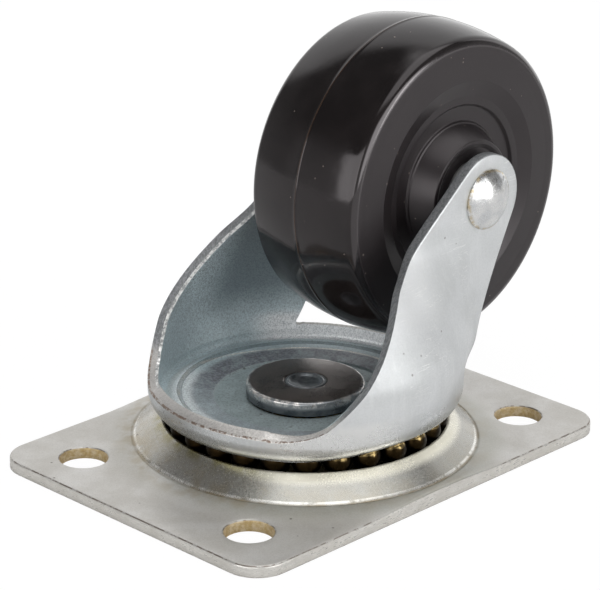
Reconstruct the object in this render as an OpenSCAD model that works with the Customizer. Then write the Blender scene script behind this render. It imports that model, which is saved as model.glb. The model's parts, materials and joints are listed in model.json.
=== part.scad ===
// Light-duty swivel plate caster, shown standing on its mounting plate.
// Origin: swivel axis on the mounting face. +Z points from that face to the wheel,
// +X is the plate's length and the side the wheel trails to, +Y is along the axle.
// Lengths are millimetres.

/* [Top plate] */
// Length of the plate along X
plate_l = 95; // [92:1:110]
// Width of the plate along Y
plate_w = 69.5; // [69:0.5:90]
// Sheet thickness of the plate
plate_t = 2.3; // [2:0.1:3]
// Corner radius of the plate
plate_corner_r = 6.5; // [3:0.5:8]
// Bolt spacing along X
bolt_x = 73.4; // [72:0.2:80]
// Bolt spacing along Y
bolt_y = 44; // [42:0.5:46]
// Bolt hole diameter
bolt_d = 9; // [7:0.1:9.5]

/* [Swivel bearing] */
// Radius of the upper ball circle
upper_ring_r = 24.5; // [24.3:0.1:24.7]
// Upper ball diameter
upper_ball_d = 5.5; // [5.3:0.1:5.6]
// Number of upper balls
upper_balls_n = 27; // [20:1:27]
// Radius of the lower ball circle
lower_ring_r = 8.4; // [8.4:0.1:8.6]
// Lower ball diameter
lower_ball_d = 3.175; // [3:0.025:3.2]
// Number of lower balls
lower_balls_n = 15; // [10:1:15]
// Radius of the race washer
washer_r = 11.3; // [11:0.1:12]
// Thickness of the race washer
washer_t = 2.85; // [2.5:0.05:3.2]

/* [Fork] */
// Outer radius of the fork's round cup
cup_r = 29.75; // [29.6:0.05:30]
// Sheet thickness of the fork
fork_t = 2.05; // [1.9:0.05:2.2]
// Distance from the centre plane to the flat outer face of a leg
leg_y = 20.4; // [20:0.1:21]
// Radius of the round leg end about the axle
leg_end_r = 8.6; // [7.5:0.1:9]
// Rise angle of the leg's front edge from the cup to the elbow
front_angle = 50; // [48:0.5:52]
// Rise angle of the leg's front edge from the elbow to the leg end
upper_angle = 39.3; // [38:0.1:41]
// Angle of the leg's straight rear edge
rear_angle = 63.5; // [62:0.5:65]

/* [Wheel] */
// Swivel offset, from the swivel axis to the axle
trail = 27.05; // [26:0.05:28]
// Height of the axle above the mounting face
axle_z = 48.65; // [48:0.05:50]
// Wheel radius at the middle of the tread
wheel_r = 30.6; // [29:0.1:31]
// Length of the hub
hub_l = 33; // [32:0.2:33]
// Diameter of the rivet that is the axle
axle_d = 6.35; // [6:0.05:6.4]

/* [Hidden] */
$fn = 96;

run_gap = 0.05;                   // radial running clearance of balls and shafts
touch_gap = 0.02;                 // between pieces that are clamped face to face
eps = 0.5;                        // how far a cutter passes a face

// Pressed dome of the plate
swell_r = 37.5;                   // where the border starts to rise
crease_r = 32.9;                  // crease between the border and the dome
crease_z = 3.1;
dome_r = 27.2;                    // where the dome's underside levels out
dome_z = 6.6;
lip_edge_r = 27.5;                // lip that stands round the upper ball track
lip_edge_z = 7.1;
table_z = 6.5;                    // top of the raised middle
upper_ball_z = 8.1;
upper_turn = -1.9;                // angle of the first upper ball
ball_track_r = upper_ball_d / 2 + run_gap;

// Kingpin and race washer
pin_r = 5;
pin_head_r = 8;
pin_head_t = 2.8;
collar_r = lower_ring_r - lower_ball_d / 2 - run_gap;
washer_z = 11;
washer_top = washer_z + washer_t;
spigot_r = 3.95;
lower_ball_z = 10.5;
lower_track_r = lower_ball_d / 2 + run_gap;

// Fork cup
floor_top = 10.7;
floor_z = floor_top - 2;
floor_r = 17.3;                   // edge of the flat floor
pivot_hole_r = lower_ring_r - 0.9;
race_wall = 1.55;                 // metal under the lower ball track
track_wall = 2;                   // metal over the upper ball track
cup_bottom = 9.6;
cup_corner_r = 3.2;
lip_z = 14.15;                    // outer edge of the rim
lip_rise = 1.1;                   // the rim's inner edge stands higher by this
cup_in_r = cup_r - fork_t;

// Fork legs
leg_in = leg_y - fork_t;
bend_z0 = 22.2;                   // the legs start to flatten here
bend_z1 = 42.3;                   // and are flat plates above here
bend_power = 1.3;
bend_soft = 3;                    // softness of the bend from the round wall to the flat leg
embed = 0.2;                      // how deep the leg's foot sits inside the cup wall
blend_z = 16.6;                   // above here the foot has its full thickness
blend_h = 6;                      // height over which the bend softens
front_foot_x = -19.8;             // where the front edge's line meets the rim level
front_fillet = 12.2;
edge_z = 13.9;
foot_z = 12.4;
relief_r = 1.1;

// Axle and wheel
axle_r = axle_d / 2;
rivet_head_r = 5.8;
rivet_head_h = 2.3;
rivet_tail_r = 5;
rivet_tail_h = 1.7;
sleeve_r = 4.75;
bushing_r = 6.5;
bushing_l = hub_l + 0.6;
thrust_r = 7;
tread_half = 10.9;                // half width of the crowned tread
crown = 1.24;                     // drop of the tread from middle to shoulder
side_y = 13.1;                    // side face at the shoulder
side_r = 27.3;
step_r = 20.9;                    // first recess
step_y = 13.5;
web_y = 12.55;
groove_r = 16.3;                  // second recess, around the hub
groove_y = 11.6;
hub_base_r = 12.9;
hub_end_r = 10.2;

function arc(cx, cy, r, a0, a1, n = 12) =
    [for (i = [0:n]) let (a = a0 + (a1 - a0) * i / n) [cx + r * cos(a), cy + r * sin(a)]];
function cap_r(base, height) = (base * base + height * height) / (2 * height);

// Lies along +Y through the axle line
module on_axle() {
    translate([trail, 0, axle_z]) rotate([-90, 0, 0]) children();
}

module ring(r_out, r_in, h) {
    difference() {
        cylinder(r = r_out, h = h);
        translate([0, 0, -eps]) cylinder(r = r_in, h = h + 2 * eps);
    }
}

module ball_track(ring_r, z, r) {
    translate([0, 0, z]) rotate_extrude() translate([ring_r, 0]) circle(r = r);
}

module ball_row(ring_r, z, d, n) {
    for (i = [0:n - 1])
        rotate([0, 0, 360 * i / n]) translate([ring_r, 0, z]) sphere(d = d);
}

module plate_outline(h) {
    dx = plate_l / 2 - plate_corner_r;
    dy = plate_w / 2 - plate_corner_r;
    union() {
        translate([-plate_l / 2, -dy, 0]) cube([plate_l, 2 * dy, h]);
        translate([-dx, -plate_w / 2, 0]) cube([2 * dx, plate_w, h]);
        for (x = [-dx, dx], y = [-dy, dy])
            translate([x, y, 0]) cylinder(r = plate_corner_r, h = h);
    }
}

// Solid under the plate's upper surface: swell, crease, dome and raised middle
module dome_body() {
    rotate_extrude() polygon([[0, 0], [swell_r, 0], [swell_r, plate_t], [crease_r, crease_z],
                              [lip_edge_r, lip_edge_z], [upper_ring_r, table_z], [0, table_z]]);
}

// Hollow that the pressing leaves on the mounting side
module dome_hollow() {
    slope = atan2(dome_z - crease_z, crease_r - dome_r);
    in_x = plate_t * sin(slope);
    in_z = plate_t * cos(slope);
    ceiling = table_z - plate_t;
    difference() {
        rotate_extrude() polygon([[0, -eps], [crease_r, -eps], [crease_r, 0],
                                  [crease_r - in_x, crease_z - in_z],
                                  [dome_r - in_x, dome_z - in_z],
                                  [dome_r - in_x - 1, ceiling], [0, ceiling]]);
        ball_track(upper_ring_r, upper_ball_z, ball_track_r + plate_t);
    }
}

module top_plate() {
    color([0.80, 0.79, 0.76]) difference() {
        union() {
            plate_outline(plate_t);
            intersection() {
                plate_outline(lip_edge_z + 1);
                dome_body();
            }
        }
        dome_hollow();
        ball_track(upper_ring_r, upper_ball_z, ball_track_r);
        ball_track(crease_r, crease_z + 0.2, 0.45);
        translate([0, 0, -eps]) cylinder(r = pin_r, h = table_z + 2 * eps);
        for (x = [-1, 1], y = [-1, 1])
            translate([x * bolt_x / 2, y * bolt_y / 2, -eps]) cylinder(d = bolt_d, h = plate_t + 2 * eps);
    }
}

module kingpin() {
    head_top = table_z - plate_t - touch_gap;
    color([0.62, 0.64, 0.66]) difference() {
        union() {
            translate([0, 0, head_top - pin_head_t])
                cylinder(r1 = pin_head_r - 1, r2 = pin_head_r, h = 1);
            translate([0, 0, head_top - pin_head_t + 1]) cylinder(r = pin_head_r, h = pin_head_t - 1);
            translate([0, 0, head_top - 1]) cylinder(r = pin_r - touch_gap, h = table_z - head_top + 2);
            translate([0, 0, table_z + touch_gap])
                cylinder(r = collar_r, h = washer_z - table_z - 2 * touch_gap);
            translate([0, 0, washer_z - 1]) cylinder(r = spigot_r - touch_gap, h = washer_t + 1);
        }
        // dished, peened end
        translate([0, 0, washer_top + 6.2]) sphere(r = 7);
    }
}

module race_washer() {
    edge = 0.6;
    color([0.30, 0.28, 0.28]) difference() {
        rotate_extrude() polygon(concat(
            [[spigot_r, washer_z], [washer_r - edge / 2, washer_z], [washer_r, washer_z + edge / 2]],
            arc(washer_r - edge, washer_top - edge, edge, 0, 90, 5),
            [[spigot_r, washer_top]]));
        ball_track(lower_ring_r, lower_ball_z, lower_track_r);
    }
}

module upper_balls() {
    color([0.45, 0.36, 0.16]) rotate([0, 0, upper_turn])
        ball_row(upper_ring_r, upper_ball_z, upper_ball_d, upper_balls_n);
}

module lower_balls() {
    color([0.45, 0.36, 0.16]) ball_row(lower_ring_r, lower_ball_z, lower_ball_d, lower_balls_n);
}

// Turned profile of the cup: floor, hump over the ball track, corner and rim
module cup_body() {
    hump_r = ball_track_r + track_wall;
    rotate_extrude() polygon(concat(
        [[pivot_hole_r, floor_z], [floor_r, floor_z], [upper_ring_r - ball_track_r, cup_bottom - 0.2]],
        [[upper_ring_r, cup_bottom]],
        arc(cup_r - 0.05 - cup_corner_r, cup_bottom + cup_corner_r, cup_corner_r, -90, 0, 6),
        [[cup_r, lip_z], [cup_in_r, lip_z + lip_rise]],
        [[cup_in_r, 12.9]],
        arc(upper_ring_r, upper_ball_z, hump_r, 58, 118, 10),
        [[floor_r + 2.5, floor_top + 0.6], [floor_r, floor_top], [pivot_hole_r, floor_top]]));
}

// Metal that carries the lower ball track, dished below the floor around the pivot hole
module lower_race() {
    intersection() {
        ball_track(lower_ring_r, lower_ball_z, lower_track_r + race_wall);
        translate([0, 0, floor_z - 2]) ring(floor_r, pivot_hole_r, floor_top - floor_z + 2);
    }
}

// The legs: y of the sheet at (x, z), round like the cup at the foot, flat at the axle
function flatten(z) =
    pow(min(max((z - bend_z0) / (bend_z1 - bend_z0), 0), 1), bend_power);
function soft_max(a, b, k) = (a + b + sqrt((a - b) * (a - b) + k * k)) / 2;
function round_y(x, r) = sqrt(max(r * r - x * x, 0));
function wall_y(x, z, r, flat) =
    x < 0 ? round_y(x, r)
          : soft_max(round_y(x, r), flat, bend_soft * min(max((z - blend_z) / blend_h, 0), 1));
function sheet_y(x, z, r, flat) =
    (1 - flatten(z)) * wall_y(x, z, r, flat) + flatten(z) * flat;
// The foot of the sheet is thinner, so that it lies inside the cup's wall
function sunk(z) = embed * min(max((blend_z - z) / (blend_z - foot_z - 1), 0), 1);

// Side view of a leg: x of its front and rear edges at height z
fillet_x = front_foot_x - front_fillet * tan(front_angle / 2);
fillet_top = edge_z + front_fillet * (1 - cos(front_angle));
end_x = trail - leg_end_r * sin(upper_angle);
end_z = axle_z + leg_end_r * cos(upper_angle);
elbow_x = (end_z - edge_z - end_x * tan(upper_angle) + front_foot_x * tan(front_angle))
          / (tan(front_angle) - tan(upper_angle));
elbow_z = edge_z + (elbow_x - front_foot_x) * tan(front_angle);
rear_x = trail + leg_end_r * sin(rear_angle);
rear_z = axle_z - leg_end_r * cos(rear_angle);
function end_half(z) = sqrt(max(leg_end_r * leg_end_r - (z - axle_z) * (z - axle_z), 0));
function front_x(z) =
    z <= edge_z ? fillet_x :
    z < fillet_top ? fillet_x + sqrt(front_fillet * front_fillet - pow(edge_z + front_fillet - z, 2)) :
    z < elbow_z ? elbow_x - (elbow_z - z) / tan(front_angle) :
    z < end_z ? end_x - (end_z - z) / tan(upper_angle) : trail - end_half(z);
function back_x(z) = z < rear_z ? rear_x - (rear_z - z) / tan(rear_angle) : trail + end_half(z);

module leg() {
    columns = 15;
    rear_turn = asin((rear_z - axle_z) / leg_end_r);
    front_turn = asin((end_z - axle_z) / leg_end_r);
    turns = concat([for (i = [0:5]) rear_turn + (front_turn - rear_turn) * i / 5], [63, 75, 85]);
    rows = concat([foot_z, foot_z + 1],
                  [for (a = [0:10:front_angle]) edge_z + front_fillet * (1 - cos(a))],
                  [for (i = [1:8]) let (z0 = fillet_top + 0.4) z0 + (elbow_z - z0) * i / 8],
                  [bend_z1],
                  [for (a = turns) axle_z + leg_end_r * sin(a)]);
    nr = len(rows);
    nc = columns + 1;
    n = nr * nc;
    grid = [for (z = rows, c = [0:columns]) [front_x(z) + (back_x(z) - front_x(z)) * c / columns, z]];
    outer = [for (p = grid) [p[0], sheet_y(p[0], p[1], cup_r - sunk(p[1]), leg_y), p[1]]];
    inner = [for (p = grid) [p[0], sheet_y(p[0], p[1], cup_in_r + sunk(p[1]), leg_in), p[1]]];
    cells = [for (k = [0:nr - 2], c = [0:columns - 1]) k * nc + c];
    last = n - nc;
    polyhedron(points = concat(outer, inner), faces = concat(
        [for (i = cells) each [[i, i + 1, i + nc], [i + 1, i + nc + 1, i + nc]]],
        [for (i = cells) each [[n + i, n + i + nc, n + i + 1], [n + i + 1, n + i + nc, n + i + nc + 1]]],
        [for (i = [0:columns - 1]) each [[i, n + i, i + 1], [i + 1, n + i, n + i + 1]]],
        [for (i = [last:n - 2]) each [[i, i + 1, n + i], [i + 1, n + i + 1, n + i]]],
        [for (i = [0:nc:last - nc]) each [[i, i + nc, n + i], [i + nc, n + i + nc, n + i]]],
        [for (i = [columns:nc:last - 1]) each [[i, n + i, i + nc], [i + nc, n + i, n + i + nc]]]));
}

module fork() {
    rear_foot_x = trail + leg_end_r * sin(rear_angle)
                  - (axle_z - leg_end_r * cos(rear_angle) - lip_z) / tan(rear_angle);
    color([0.78, 0.80, 0.81]) difference() {
        union() {
            cup_body();
            lower_race();
            leg();
            mirror([0, 1, 0]) leg();
        }
        ball_track(upper_ring_r, upper_ball_z, ball_track_r);
        ball_track(lower_ring_r, lower_ball_z, lower_track_r);
        // relief where each leg's rear edge runs into the rim
        for (side = [-1, 1])
            translate([rear_foot_x + 0.9, side * 22, lip_z + 0.8]) rotate([0, 0, side * 46])
                rotate([0, 90, 0]) translate([0, 0, -5]) cylinder(r = relief_r, h = 10);
        translate([0, -leg_y - eps, 0]) on_axle() cylinder(r = axle_r + run_gap, h = 2 * leg_y + 2 * eps);
    }
}

module axle_rivet() {
    head_sphere = cap_r(rivet_head_r, rivet_head_h);
    tail_sphere = cap_r(rivet_tail_r, rivet_tail_h);
    face = leg_y + touch_gap;
    color([0.82, 0.82, 0.80]) on_axle() {
        union() {
            translate([0, 0, -face]) cylinder(r = axle_r, h = 2 * face);
            // formed head on the left side
            intersection() {
                translate([0, 0, -face - rivet_head_h + head_sphere]) sphere(r = head_sphere);
                translate([0, 0, -face - rivet_head_h]) cylinder(r = rivet_head_r, h = rivet_head_h);
            }
            // peened tail on the right side
            intersection() {
                translate([0, 0, face + rivet_tail_h - tail_sphere]) sphere(r = tail_sphere);
                translate([0, 0, face]) cylinder(r = rivet_tail_r, h = rivet_tail_h);
            }
        }
    }
}

module axle_sleeve() {
    half = leg_in - touch_gap;
    color([0.70, 0.71, 0.72]) on_axle() translate([0, 0, -half])
        ring(sleeve_r, axle_r + run_gap, 2 * half);
}

module thrust_washer() {
    t = leg_in - bushing_l / 2 - 3 * run_gap;
    color([0.55, 0.56, 0.57]) on_axle() translate([0, 0, leg_in - run_gap - t])
        ring(thrust_r, sleeve_r + run_gap, t);
}

module thrust_washer_right() {
    thrust_washer();
}

module thrust_washer_left() {
    mirror([0, 1, 0]) thrust_washer();
}

module hub_bushing() {
    color([0.50, 0.50, 0.50]) on_axle() translate([0, 0, -bushing_l / 2])
        ring(bushing_r - touch_gap, sleeve_r + run_gap, bushing_l);
}

// One side of the wheel's section, from the tread's middle to the hub's end
function half_section() = concat(
    [for (i = [0:6]) let (s = tread_half * i / 6) [wheel_r - crown * pow(s / tread_half, 2), s]],
    arc(side_r - 0.5, tread_half - 0.4, wheel_r - crown - side_r + 0.5, 20, 80, 5),
    [[side_r - 1.5, side_y + 0.1], [step_r, step_y], [step_r - 2.2, web_y], [groove_r, web_y],
     [groove_r - 0.6, groove_y], [hub_base_r + 0.4, groove_y], [hub_base_r - 0.4, groove_y + 1],
     [hub_end_r, hub_l / 2], [bushing_r, hub_l / 2]]);

module wheel() {
    half = half_section();
    n = len(half);
    color([0.10, 0.09, 0.09]) on_axle() rotate_extrude()
        polygon(concat(half, [for (i = [n - 1:-1:1]) [half[i][0], -half[i][1]]]));
}

top_plate();
kingpin();
race_washer();
upper_balls();
lower_balls();
fork();
axle_rivet();
axle_sleeve();
thrust_washer_left();
thrust_washer_right();
hub_bushing();
wheel();
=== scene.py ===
import json
import random
from math import acos, asin, cos, degrees, dist, exp, hypot, pi, radians, remainder, sin, sqrt, tan

import bpy
import bmesh
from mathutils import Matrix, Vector
from mathutils.geometry import delaunay_2d_cdt


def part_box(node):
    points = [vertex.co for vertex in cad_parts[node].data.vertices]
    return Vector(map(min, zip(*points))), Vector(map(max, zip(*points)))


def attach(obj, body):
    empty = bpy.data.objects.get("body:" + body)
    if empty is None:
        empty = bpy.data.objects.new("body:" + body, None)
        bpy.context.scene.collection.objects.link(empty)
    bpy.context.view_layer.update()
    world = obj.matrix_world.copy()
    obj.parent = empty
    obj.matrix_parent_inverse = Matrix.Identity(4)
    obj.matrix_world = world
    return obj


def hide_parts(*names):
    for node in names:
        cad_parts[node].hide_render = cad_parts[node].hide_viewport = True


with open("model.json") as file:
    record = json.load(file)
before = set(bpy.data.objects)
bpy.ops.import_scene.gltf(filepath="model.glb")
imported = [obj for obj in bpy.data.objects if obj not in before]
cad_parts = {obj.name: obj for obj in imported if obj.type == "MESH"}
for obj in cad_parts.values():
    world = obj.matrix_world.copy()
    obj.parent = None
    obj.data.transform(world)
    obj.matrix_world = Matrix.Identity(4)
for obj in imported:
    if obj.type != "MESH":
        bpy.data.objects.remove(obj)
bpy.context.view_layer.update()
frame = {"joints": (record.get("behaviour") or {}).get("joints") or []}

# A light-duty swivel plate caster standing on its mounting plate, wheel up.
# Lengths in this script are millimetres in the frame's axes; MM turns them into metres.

MM = 0.001
joints = {j["name"]: j for j in frame["joints"]}
AXLE_X, _, AXLE_Z = [v / MM for v in joints["wheel_spin"]["pos_m"]]


def cad_box(node):
    low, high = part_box(node)
    return Vector(low) / MM, Vector(high) / MM


_, plate_high = cad_box("top_plate")
_, wheel_high = cad_box("wheel")
_, fork_high = cad_box("fork")
pin_low, _ = cad_box("kingpin")
washer_low, washer_high = cad_box("race_washer")
rivet_low, rivet_high = cad_box("axle_rivet")
thrust_low, thrust_high = cad_box("thrust_washer_right")
_, bushing_high = cad_box("hub_bushing")

# ---------------- sizes, in millimetres

# plate: half sizes, sheet, corners, bolt holes, ball rows, crease, the swell outside it, the dome's top
PLATE_X, PLATE_Y = plate_high.x, plate_high.y
PLATE_T = 2.3
PLATE_CORNER = 6.5
BOLT_X, BOLT_Y, BOLT_R = 36.7, 22.0, 4.5
BALL_RING, BALL_Z, BALL_R = 24.5, 8.1, 2.75
TRACK_R = BALL_R + 0.05
LOW_RING, LOW_Z, LOW_R = 8.4, 10.5, 1.5875
CREASE_R = 32.9
SWELL_R = 38.5
TRACK_LIP_R, TRACK_LIP_Z = 27.5, 7.1
TABLE_Z = 6.5
PIN_R, COLLAR_R, SPIGOT_R = 5.0, 6.76, 3.95
SLIP = 0.02

# fork: cup, its rounded corner, rim, legs with their bend and outline, cut edge
CUP_R = fork_high.y
SHEET = 2.05
WALL_Z = 12.15
CORNER_R, CORNER_Z, CORNER_LIFT = 4.0, 12.9, 1.35
LIFT_FRONT, LIFT_REAR = (141, 92), (40, 49)
TRACK_FROM, CORNER_FROM = radians(152), radians(-72)
FLOOR_R = 17.1
RIM_FRONT, RIM_REAR, RIM_LIFT = 14.15, 13.35, 1.1
RELIEF, RELIEF_AT, RELIEF_WIDTH = 0.75, 1.1, 0.8
LEG_Y = 20.4
LEG_END = 8.6
BEND_LOW, BEND_HIGH, BEND_POWER, BEND_SOFT = 22.2, 42.3, 1.3, 4.5
SOFT_LOW, SOFT_HEIGHT = 16.6, 6.0
FRONT_ANGLE, UPPER_ANGLE, REAR_ANGLE = (radians(a) for a in (50.0, 39.3, 63.5))
FRONT_FOOT_X, FRONT_FILLET, EDGE_Z = -19.8, 12.2, 13.9
ELBOW_R, FOOT_RISE = 9.0, 1.3
EDGE_ROUND, ROUND_MID = 0.18, 0.29
TORN_FROM = 0.68
SHEET_ROWS = 26

# turned pieces and balls
UPPER_COUNT, UPPER_PHASE, LOWER_COUNT = 27, -1.9, 15
SLEEVE_R, SLEEVE_BORE = 4.75, 3.225
BUSH_R, BUSH_BORE, THRUST_R = 6.48, 4.8, 7.0
WHEEL_R = wheel_high.z - AXLE_Z
HUB_HALF = wheel_high.y
RIVET_HEAD = -rivet_low.y
RIVET_TAIL = rivet_high.y

# the camera, in metres and radians
LENS, SENSOR = 171.2, 36
EYE = Vector((-0.3580, -0.3454, 0.2242))
AIM = Vector((0.00666, 0.00819, 0.02699))
ROLL = radians(0.645)

# ---------------- mesh helpers


def arc(cx, cy, r, a0, a1, steps):
    """Points on a circle from angle a0 to a1 in degrees."""
    turn = [radians(a0 + (a1 - a0) * i / steps) for i in range(steps + 1)]
    return [(cx + r * cos(a), cy + r * sin(a)) for a in turn]


def rounded(corners, closed=False, steps=5):
    """Turns corners (x, y, radius) into points, with each corner that has a radius rounded."""
    points, n = [], len(corners)
    for i, corner in enumerate(corners):
        here = Vector(corner[:2])
        radius = corner[2] if len(corner) > 2 else 0
        if radius <= 0 or (not closed and i in (0, n - 1)):
            points.append(tuple(here))
            continue
        before = (Vector(corners[i - 1][:2]) - here).normalized()
        after = (Vector(corners[(i + 1) % n][:2]) - here).normalized()
        half = before.angle(after) / 2
        reach = radius / tan(half)
        centre = here + (before + after).normalized() * radius / sin(half)
        start, end = here + before * reach - centre, here + after * reach - centre
        for k in range(steps + 1):
            points.append(tuple(centre + start.slerp(end, k / steps) * radius))
    return points


def add_object(name, data):
    made = bpy.data.objects.new(name, data)
    bpy.context.scene.collection.objects.link(made)
    return made


def make_piece(name, home, points, faces, materials, slots=None, sharp=40):
    """A piece of the part, from points in millimetres, smooth apart from edges sharper than the angle.

    Its home is the body it rides on, its material slot's name, which is not used, and the CAD node it
    replaces.
    """
    mesh = bpy.data.meshes.new(name)
    mesh.from_pydata([Vector(p) * MM for p in points], [], faces)
    for material in materials:
        mesh.materials.append(material)
    if slots:
        mesh.polygons.foreach_set("material_index", slots)
    work = bmesh.new()
    work.from_mesh(mesh)
    bmesh.ops.remove_doubles(work, verts=work.verts, dist=1e-8)
    bmesh.ops.recalc_face_normals(work, faces=work.faces)
    work.to_mesh(mesh)
    work.free()
    mesh.polygons.foreach_set("use_smooth", [True] * len(mesh.polygons))
    mesh.set_sharp_from_angle(angle=radians(sharp))
    piece = add_object(name, mesh)
    body, slot, node = home
    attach(piece, body)
    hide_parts(node)


def about_swivel(r, a, h):
    return (r * cos(a), r * sin(a), h)


def about_axle(r, a, h):
    return (AXLE_X + r * cos(a), h, AXLE_Z + r * sin(a))


def lathe(name, home, profile, place, material, segments, closed=True, sharp=40):
    """A turned solid from a profile of (radius, height); an open one starts and ends on the axis."""
    points, faces, rings = [], [], []
    for r, h in profile:
        count = 1 if r < 1e-6 else segments
        rings.append([len(points) + i for i in range(count)])
        points += [place(r, 2 * pi * i / segments, h) for i in range(count)]
    n = len(profile)
    for k in range(n if closed else n - 1):
        low, high = rings[k], rings[(k + 1) % n]
        for i in range(segments):
            j = (i + 1) % segments
            corners = [low[i % len(low)], low[j % len(low)], high[j % len(high)], high[i % len(high)]]
            face = list(dict.fromkeys(corners))
            if len(face) > 2:
                faces.append(face)
    make_piece(name, home, points, faces, [material], None, sharp)


# ---------------- material helpers


class Graph:
    """A material's nodes, with textures placed in the frame's own millimetres."""

    def __init__(self, name):
        self.material = bpy.data.materials.new(name)
        self.material.use_nodes = True
        self.tree = self.material.node_tree
        self.tree.nodes.clear()
        self.place = self.node("TexCoord").outputs["Object"]

    def node(self, kind, options=None, **inputs):
        made = self.tree.nodes.new("ShaderNode" + kind)
        for key, value in (options or {}).items():
            setattr(made, key, value)
        for key, value in inputs.items():
            self.feed(made.inputs[key.replace("_", " ")], value)
        return made

    def feed(self, socket, value):
        if isinstance(value, bpy.types.NodeSocket):
            self.tree.links.new(value, socket)
        elif isinstance(value, (tuple, list)) and len(value) == 3 and socket.type == "RGBA":
            socket.default_value = (*value, 1)
        else:
            socket.default_value = value

    def math(self, kind, a, b=0.0):
        made = self.node("Math", {"operation": kind})
        self.feed(made.inputs[0], a)
        self.feed(made.inputs[1], b)
        return made.outputs[0]

    def plus(self, a, b):
        return self.math("ADD", a, b)

    def minus(self, a, b):
        return self.math("SUBTRACT", a, b)

    def most(self, a, b):
        return self.math("MAXIMUM", a, b)

    def times(self, first, *others):
        for value in others:
            first = self.math("MULTIPLY", first, value)
        return first

    def length(self, a, b):
        """Length of a flat vector."""
        return self.math("SQRT", self.plus(self.times(a, a), self.times(b, b)))

    def stretched(self, sx, sy, sz, turn=(0, 0, 0)):
        made = self.node("Mapping", Vector=self.place, Rotation=turn, Scale=(sx, sy, sz))
        return made.outputs["Vector"]

    def noise(self, size, detail=4.0, rough=0.55, distort=0.0, place=None):
        made = self.node("TexNoise", Vector=place or self.place, Scale=1 / (size * MM),
                         Detail=detail, Roughness=rough, Distortion=distort)
        return made.outputs["Fac"]

    def blots(self, low, high, *shape):
        """1 in blots of noise and 0 between them, turning over from low to high."""
        return self.ramp(self.noise(*shape), low, high)

    def dots(self, size, radius, keep, softness=0.08):
        """1 inside small round specks: one speck a cell, of which only the share keep is there."""
        cells = self.node("TexVoronoi", Vector=self.place, Scale=1 / (size * MM))
        near = self.ramp(cells.outputs["Distance"], radius, radius + softness, 1, 0)
        pick = self.node("SeparateColor", Color=cells.outputs["Color"]).outputs[0]
        return self.times(near, self.math("LESS_THAN", pick, keep))

    def ramp(self, value, low, high, out_low=0.0, out_high=1.0):
        """Goes smoothly from out_low to out_high while value goes from low to high."""
        made = self.node("MapRange", {"interpolation_type": "SMOOTHSTEP"}, Value=value, From_Min=low,
                         From_Max=high, To_Min=out_low, To_Max=out_high)
        return made.outputs["Result"]

    def span(self, share, low, high):
        return self.ramp(share, 0, 1, low, high)

    def band(self, value, centre, half, soft):
        """1 where value lies within half of centre, falling to 0 over soft."""
        away = self.math("ABSOLUTE", self.minus(value, centre))
        return self.ramp(away, half, half + soft, 1, 0)

    def mix(self, share, a, b):
        made = self.node("Mix", {"data_type": "RGBA"})
        self.feed(made.inputs["Factor"], share)
        self.feed(made.inputs[6], a)
        self.feed(made.inputs[7], b)
        return made.outputs[2]

    def blend(self, share, a, b):
        """A mix of two shader nodes."""
        made = self.node("MixShader", Fac=share)
        self.feed(made.inputs[1], a.outputs[0])
        self.feed(made.inputs[2], b.outputs[0])
        return made.outputs[0]

    def ground(self, share, a, b):
        """Starts the colour: a where share is 0 and b where it is 1."""
        self.color = self.mix(share, a, b)

    def paint(self, over, *masks):
        """Lays one more colour over the last, as strongly as the product of the masks."""
        self.color = self.mix(self.times(*masks), self.color, over)

    def axis(self, name):
        """A coordinate in millimetres."""
        split = self.node("SeparateXYZ", Vector=self.place)
        return self.times(split.outputs[name], 1 / MM)

    def from_swivel(self):
        return self.length(self.axis("X"), self.axis("Y"))

    def towards_right(self):
        """Distance from the swivel axis towards the +X -Y corner, to the right of the main view."""
        return self.times(self.minus(self.axis("X"), self.axis("Y")), 0.707)

    def from_axle(self):
        return self.length(self.minus(self.axis("X"), AXLE_X), self.minus(self.axis("Z"), AXLE_Z))

    def bump(self, height, depth, under=None):
        made = self.node("Bump", Height=height, Distance=depth * MM, Strength=1.0)
        if under is not None:
            self.feed(made.inputs["Normal"], under)
        return made.outputs["Normal"]

    def surface(self, metallic, roughness, normal, coat=0.0, specular=0.5, tint=(1, 1, 1)):
        shader = self.node("BsdfPrincipled", Base_Color=self.color, Metallic=metallic,
                           Roughness=roughness, Normal=normal, Coat_Weight=coat, Coat_Roughness=0.2,
                           Specular_IOR_Level=specular, Specular_Tint=tint)
        self.node("OutputMaterial", Surface=shader.outputs[0])
        return self.material


# ---------------- materials


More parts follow.
